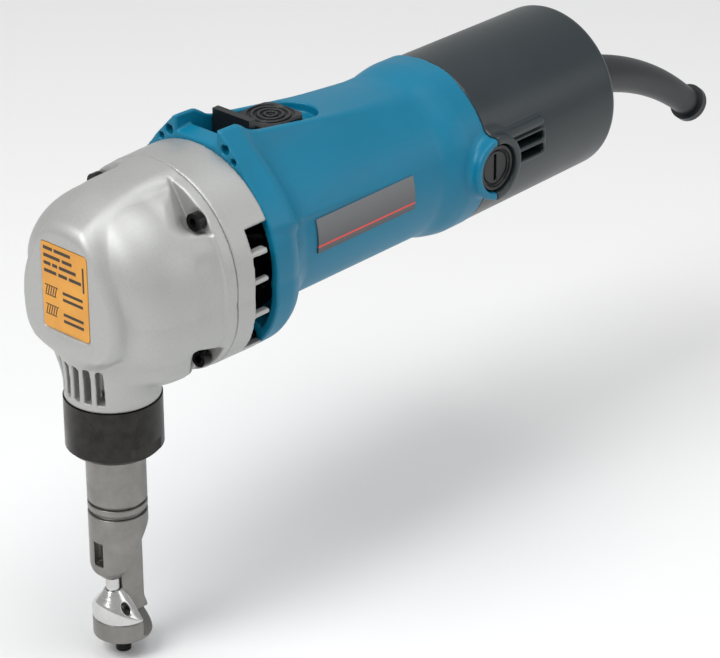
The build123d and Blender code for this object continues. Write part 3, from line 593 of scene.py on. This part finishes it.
def motor_housing(x, y, zz):
    """Blue shell: round barrel, flange, and the roof with its posts and switch channel."""
    z = zz - AXIS
    ay = np.abs(y)
    r = np.hypot(y, z)
    barrel = r - curve(x, (40, 31.0), (100, 31.0), (140, 31.0), (150, 33.2), (155, 33.9),
                       (170, 33.8))
    fall = curve(x, (40, 0.0), (52, 0.2), (57, 1.8), (62, 6.0), (66, 10.0), (70, 14.0), (80, 26.0))
    flange = section(y, z) - 39.0 + fall
    # the roof carries the posts and the switch channel
    top = curve(x, (40, 46.6), (53.5, 46.2), (56, 45.0), (60, 42.2), (64.5, 40.6), (75, 38.8),
                (86, 37.0), (96, 35.4), (106, 33.6), (120, 31.4), (135, 29.0))
    rim = curve(x, (40, 11.1), (56, 11.2), (66, 12.0), (135, 12.4))
    lean = np.radians(curve(x, (40, 43.5), (55, 43.0), (62, 33.0), (68, 28.0), (75, 27.5),
                            (135, 27.5)))
    flank = (ay - rim) * np.cos(lean) + (z - top) * np.sin(lean)
    roof = meet(meet(flank, z - top, 1.0), 14.0 - z)
    roof = meet(roof, r - curve(z, (20, 38.9), (27, 39.6), (33, 41.8), (40, 48.0), (50, 60.0)), 3.0)
    body = union(barrel, flange, 5.0)
    shape = union(body, roof, 1.5 + 5.5 * ease((x - 46) / 16))
    shape = meet(shape, span(x, FLANGE_X, COVER_X - SHELL_GAP), 0.5)
    # the front half of the round bosses at the brush caps
    boss = meet(np.hypot(x - BRUSH_X, z) - 12.3, ay - 38.0, 0.8)
    boss = meet(boss, x - COVER_X + SHELL_GAP, 0.3)
    shape = union(shape, meet(boss, 20.0 - ay), 2.0)
    shape = meet(shape, x - COVER_X + SHELL_GAP, 0.3)
    # the channel that the switch knob slides in
    end = np.hypot(np.maximum(x - 92.8, 0), y)
    wall = np.where(x < 57, 10.0, 9.75)
    floor = curve(x, (40, 39.6), (52, 41.0), (52.6, 33.0), (94, 32.2), (106, 30.6),
                  (110, 30.4))
    channel = meet(end - wall, floor - z, 0.6)
    shape = cut(shape, channel, 0.6)
    # hollow inside, with a boss round each head screw
    hollow = meet(section(y, z) - 35.6, x - 58.0)
    hollow = union(hollow, r - 28.3, 1.0)
    hollow = meet(hollow, z - 30.5)
    hollow = meet(hollow, np.where(x < 58.5, 5.2 - from_screw(ay, z), -np.inf))
    shape = cut(shape, hollow)
    shape = cut(shape, meet(box2(x, y, 74.0, 94.0, -3.4, 3.4, 0.8), 22.0 - z))
    shape = cut(shape, np.hypot(x - BRUSH_X, z) - CAP_HOLE_R, 0.5)
    for py, pz, pr in POST_HOLES:
        shape = cut(shape, meet(np.hypot(ay - py, z - pz) - pr, x - 48.6), 0.25)
    return cut(shape, meet(from_screw(ay, z) - 1.95, x - 55.0))


def rear_cover(x, y, zz):
    """Dark rear shell with the lipped air vents and the cord entry."""
    z = zz - AXIS
    ay = np.abs(y)
    r = np.hypot(y, z)
    outer = r - 33.6 + 0.7 * (x - COVER_X) / (REAR_X - COVER_X)
    shape = meet(outer, x - REAR_X, 3.2)
    boss = meet(np.hypot(x - BRUSH_X, z) - 12.8, ay - 38.0, 1.0)
    fin = meet(box2(x, z, 160.0, 195.0, 7.6, 10.9, 1.4), ay - 34.6, 0.8)
    shape = union(shape, meet(boss, 22.0 - ay), 3.0)
    shape = union(shape, meet(fin, 22.0 - ay), 1.2)
    shape = meet(shape, COVER_X + SHELL_GAP - x, 0.3)
    for z0, z1 in ((1.3, 5.7), (-4.1, 0.4)):
        lip = meet(box2(x, z, 160.0, 196.0, z0 - 0.7, z1 + 0.7, 1.5), ay - 34.2, 0.4)
        shape = union(shape, meet(meet(lip, 22.0 - ay), 176.0 - x), 0.6)
    shape = cut(shape, meet(r - 29.1, x - (REAR_X - 4.0), 2.0))
    cord_bed = meet(meet(span(x, 218.0, 226.0), span(z, -8.0, -4.2)), r - 30.0)
    shape = union(shape, cord_bed)
    shape = cut(shape, np.hypot(x - BRUSH_X, z) - CAP_HOLE_R, 0.5)
    for z0, z1 in ((1.7, 5.3), (-3.7, 0.0)):
        slot = meet(box2(x, z, 178.0, 195.0, z0, z1, 1.2), 20.0 - ay)
        shape = cut(shape, slot, 0.3)
    for sy, sz in COVER_SCREWS:
        away = np.hypot(y - sy, z - sz)
        shape = union(shape, meet(away - 5.0, span(x, 226.0, REAR_X - 3.0)))
        shape = cut(shape, meet(away - 4.1, REAR_X - 7.0 - x), 0.4)
        shape = cut(shape, meet(away - 2.2, 220.0 - x))
    return cut(shape, meet(r - 9.3, 230.0 - x), 0.8)


def brush_cap(x, y, zz):
    """Round cap with a raised rim, an inner disc and an upright screwdriver slot."""
    z = zz - AXIS
    ay = np.abs(y)
    r = np.hypot(x - BRUSH_X, z)
    cap = meet(r - 9.2, span(ay, 32.8, 35.6), 0.4)
    cap = union(cap, meet(np.abs(r - 8.2) - 0.7, span(ay, 33.0, 36.6), 0.3), 0.2)
    cap = cut(cap, meet(np.abs(r - 6.7) - 0.35, 34.9 - ay), 0.2)
    cap = union(cap, meet(r - 8.4, span(ay, 31.0, 33.2)), 0.2)
    cap = cut(cap, meet(r - 4.0, ay - 33.0))
    slot = box2(x - BRUSH_X, z, -0.75, 0.75, -5.2, 5.2, 0.3)
    return cut(cap, meet(slot, 34.2 - ay), 0.15)


def die_holder(x, y, z):
    """Grooved shank with a conical nose, faceted towards the web that carries the foot."""
    ay = np.abs(y)
    r = np.hypot(x, y)
    punch = np.hypot(x - PUNCH_X, y)
    nose = (punch - 3.3 - (z - 5.0)) / 1.414
    facets = 0.607 * (x + 3.0) + 0.656 * (ay - 3.0) - 0.447 * (z - 5.0)
    shape = meet(meet(r - HOLDER_R, z - 64.0, 0.3), 5.0 - z, 0.3)
    shape = meet(meet(shape, nose, 0.4), facets, 0.5)
    shape = union(shape, meet(r - 13.6, span(z, 62.0, 66.0), 0.3))
    shape = union(shape, meet(r - 11.1, span(z, 64.0, 79.0), 0.3))
    back = x - 9.3 - 1.5 * ease((-7.0 - z) / 6)
    web = meet(meet(ay - 2.3, meet(back, -1.45 - x, 0.5), 0.4), span(z, -13.0, 26.0))
    shape = union(shape, meet(web, r - HOLDER_R), 0.8)
    foot = meet(r - HOLDER_R, span(z, -19.5, -11.8), 0.5)
    slope = z + 11.8 + 0.45 * (x - 0.4) + 0.75 * (ay - 2.3)
    foot = cut(foot, meet(-slope / 1.3, 0.4 - x), 0.3)
    shape = union(shape, foot, 0.6)
    shape = cut(shape, meet(r - 7.57, 30.0 - z))
    shape = cut(shape, meet(punch - PUNCH_HOLE_R, span(z, 4.0, 31.0)))
    shape = cut(shape, meet(meet(r - 4.3, span(z, -17.0, -10.8)), x - 2.7))
    shape = cut(shape, meet(r - 2.1, z + 11.0))
    for z0, z1 in GAUGE_GROOVES:
        shape = cut(shape, meet(9.5 - r, span(z, z0, z1)), 0.12)
    window = meet(box2(y, z, -2.3, 2.3, 12.0, 21.5, 0.4), x - PUNCH_X)
    return cut(shape, window, 0.2)


def die(x, y, z):
    """Cone round the punch's hole, with a slug hole through its sides."""
    r = np.hypot(x, y)
    punch = np.hypot(x - PUNCH_X, y)
    cone = (punch - 3.07 + z / 1.34) / 1.25
    shape = meet(meet(cone, r - HOLDER_R, 0.5), meet(z, x - 0.4, 0.3), 0.2)
    shape = meet(shape, -11.78 - z, 0.2)
    shape = union(shape, meet(meet(r - 4.2, x - 2.6), span(z, -16.7, -11.5)))
    shape = cut(shape, meet(punch - PUNCH_HOLE_R, -9.2 - z))
    shape = cut(shape, np.hypot(x + 4.7, (z + 5.9) / 1.25) - 1.7, 0.2)
    return cut(shape, meet(r - 1.95, z + 11.0))


def switch_knob(x, y, zz):
    """Thumb plate with clipped corners, a crowned top and ring grooves."""
    z = zz - AXIS
    plate = box2(x, y, 71.5, 91.6, -9.4, 9.4, 0.5)
    corner = (np.abs(x - 81.8) + np.abs(y) - 16.4) / 1.414
    plate = meet(plate, corner, 0.8)
    crown = z - 38.2 + 0.006 * (x - 82.0) ** 2
    shape = meet(meet(plate, crown, 0.7), 35.1 - z, 0.2)
    r = np.hypot(x - KNOB_X, y)
    for radius in (8.1, 5.7, 3.3, 1.0):
        groove = box2(r, z, radius - 0.62, radius + 0.62, 37.2, 40.0, 0.3)
        shape = cut(shape, groove, 0.3)
    return shape


def label_sheet(x, y, zz):
    """The sheet that lies in the recess, a little below the casting's front face."""
    outline = box2(y, zz - AXIS, -11.45, 11.45, -12.3, 20.4, 1.5)
    return meet(outline, span(x, FRONT_X + 0.12, FRONT_X + LABEL_DEPTH), 0.08)


BOX_FACES = ((0, 3, 2, 1), (4, 5, 6, 7), (0, 1, 5, 4), (1, 2, 6, 5), (2, 3, 7, 6), (3, 0, 4, 7))
LABEL_LINES = (         # height of each line and the two ends of its bars
    (17.6, ((10.2, 5.6), (4.8, -3.4))),
    (14.7, ((10.2, 1.9), (0.9, -4.0))),
    (11.8, ((10.2, 6.8), (5.9, 3.4), (2.5, -5.9))),
    (8.9, ((10.2, 4.0), (3.0, -1.4), (-2.3, -8.4))),
)


def bars(name, rows, x0, x1, material):
    """Flat printed marks: each row is (y from, y to, z from, z to, lean)."""
    verts, faces = [], []
    for y0, y1, z0, z1, lean in rows:
        n = len(verts)
        for x in (x0, x1):
            for y, z in ((y0, z0), (y1, z0), (y1 + lean, z1), (y0 + lean, z1)):
                verts.append((x / 1000, y / 1000, (z + AXIS) / 1000))
        faces += [[n + k for k in corners] for corners in BOX_FACES]
    mesh = bpy.data.meshes.new(name)
    mesh.from_pydata(verts, [], faces)
    mesh.update()
    return place(name, mesh, material, "housing", None)


def label_marks():
    """Plain bars in place of writing, and two hatched blocks that stand for the sheet gauges."""
    rows = [(b, a, z, z + 1.25, 0.0) for z, line in LABEL_LINES for a, b in line]
    rows += [(-8.8, 1.2, z, z + 1.1, 0.0) for z in (2.6, 0.1, -5.6, -8.1)]
    rows.append((-9.9, -9.1, 6.5, 16.0, 0.0))
    for z0 in (0.6, -6.8):
        for k in range(5):
            rows.append((9.6 - k * 1.15, 10.05 - k * 1.15, z0, z0 + 3.2, -0.9))
        rows.append((3.6, 10.1, z0 + 3.3, z0 + 3.65, 0.0))
        rows.append((4.6, 10.1, z0 - 0.45, z0 - 0.1, 0.0))
    return rows


# Each call gives the box that holds the shape and the step of its mesh, both in millimetres
solid("gear_housing_casting", gear_housing, (-22, -45, 64), (28, 45, 162), 0.62, SILVER,
      "housing", "cast_alloy", "gear_housing")
solid("bearing_plate_casting", gear_housing_cover, (24, -45, 74), (47, 45, 162), 0.62, SILVER,
      "housing", "cast_alloy", "gear_housing_cover")
solid("motor_housing_moulding", motor_housing, (43, -44, 76), (166, 44, 170), 0.75, BLUE,
      "housing", "blue_plastic", "motor_housing")
solid("rear_cover_moulding", rear_cover, (162, -40, 85), (243, 40, 157), 0.75, DARK,
      "housing", "dark_plastic", "rear_cover")
solid("switch_knob_moulding", switch_knob, (70, -11, 155), (94, 11, 161), 0.24, BLACK,
      "switch", "switch_plastic", "switch_knob")
for side, y0 in (("left", 30), ("right", -38)):
    solid(f"brush_cap_{side}_moulding", brush_cap, (155, y0, 111), (175, y0 + 8, 132), 0.3, BLACK,
          "housing", "dark_plastic", f"brush_cap_{side}")
solid("die_holder_forging", die_holder, (-15, -15, -21), (15, 15, 80), 0.4, GROUND,
      "nose", "holder_steel", "die_holder")
solid("die_cone", die, (-12, -12, -18), (4, 12, 1), 0.28, BRIGHT,
      "nose", "tool_steel", "die")

INK = moulding("label_ink", (0.035, 0.022, 0.012), 0.5, 900.0, 0.03)
solid("orange_label_sheet", label_sheet, (-21, -13, 108), (-19, 13, 143), 0.22,
      PAINTED["warning_label"], "housing", "orange_label", "warning_label")
bars("label_print", label_marks(), FRONT_X + 0.07, FRONT_X + 0.14, INK)


# ---------------------------------------------------------------- stage, camera and lights

def stage():
    """A pale floor just below the tip of the nose."""
    z = min(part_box("die_bolt")[0].z, cad_box[0][2]) - 0.0004
    w = 6
    mesh = bpy.data.meshes.new("floor")
    mesh.from_pydata([(-w, -w, z), (w, -w, z), (w, w, z), (-w, w, z)], [], [(0, 1, 2, 3)])
    m = Nodes("pale_floor", (0.90, 0.90, 0.90), 0.7)
    m.paint(m.mix(m.noise(2.0, 2.0, 0.5), (0.89, 0.89, 0.89), (0.92, 0.92, 0.92)))
    mesh.materials.append(m.material)
    floor = bpy.data.objects.new("floor", mesh)
    bpy.context.scene.collection.objects.link(floor)


def area_light(name, azimuth, elevation, distance, size, power):
    """A round light that faces the middle of the tool; angles in degrees, distance in metres."""
    light = bpy.data.lights.new(name, "AREA")
    light.shape = "DISK"
    light.size = size
    light.energy = power
    obj = bpy.data.objects.new(name, light)
    a, e = math.radians(azimuth), math.radians(elevation)
    out = Vector((math.sin(a) * math.cos(e), -math.cos(a) * math.cos(e), math.sin(e)))
    obj.location = Vector((0.11, 0.0, 0.09)) + out * distance
    obj.rotation_euler = out.to_track_quat("Z", "Y").to_euler()
    bpy.context.scene.collection.objects.link(obj)


def camera():
    """The photo's camera, as it was fitted to circles on the tool."""
    azimuth, elevation, roll = (math.radians(a) for a in (-47.14, 26.87, -0.34))
    distance = 1.28647
    back = Vector((math.sin(azimuth) * math.cos(elevation),
                   -math.cos(azimuth) * math.cos(elevation), math.sin(elevation)))
    right = Vector((math.cos(azimuth), math.sin(azimuth), 0))
    up = back.cross(right)
    side = math.cos(roll) * right + math.sin(roll) * up
    head = -math.sin(roll) * right + math.cos(roll) * up
    data = bpy.data.cameras.new("camera")
    data.sensor_fit = "HORIZONTAL"
    data.sensor_width = 36.0
    data.lens = 170.03
    data.clip_start = 0.05
    data.clip_end = 50.0
    obj = bpy.data.objects.new("camera", data)
    turn = Matrix((side, head, back)).transposed().to_4x4()
    target = Vector((0.12187, -0.00628, 0.06004))
    obj.matrix_world = Matrix.Translation(target + back * distance) @ turn
    bpy.context.scene.collection.objects.link(obj)
    bpy.context.scene.camera = obj


stage()
camera()
area_light("key_light", -95, 48, 1.1, 0.55, 6.5)
area_light("top_light", 10, 78, 1.2, 0.8, 5.5)
area_light("side_light", 35, 20, 1.4, 0.7, 1.8)
world = bpy.data.worlds.new("studio")
world.use_nodes = True
world.node_tree.nodes["Background"].inputs["Color"].default_value = (1.0, 1.0, 1.0, 1)
world.node_tree.nodes["Background"].inputs["Strength"].default_value = 0.5
bpy.context.scene.world = world
bpy.context.scene.view_settings.view_transform = "Standard"
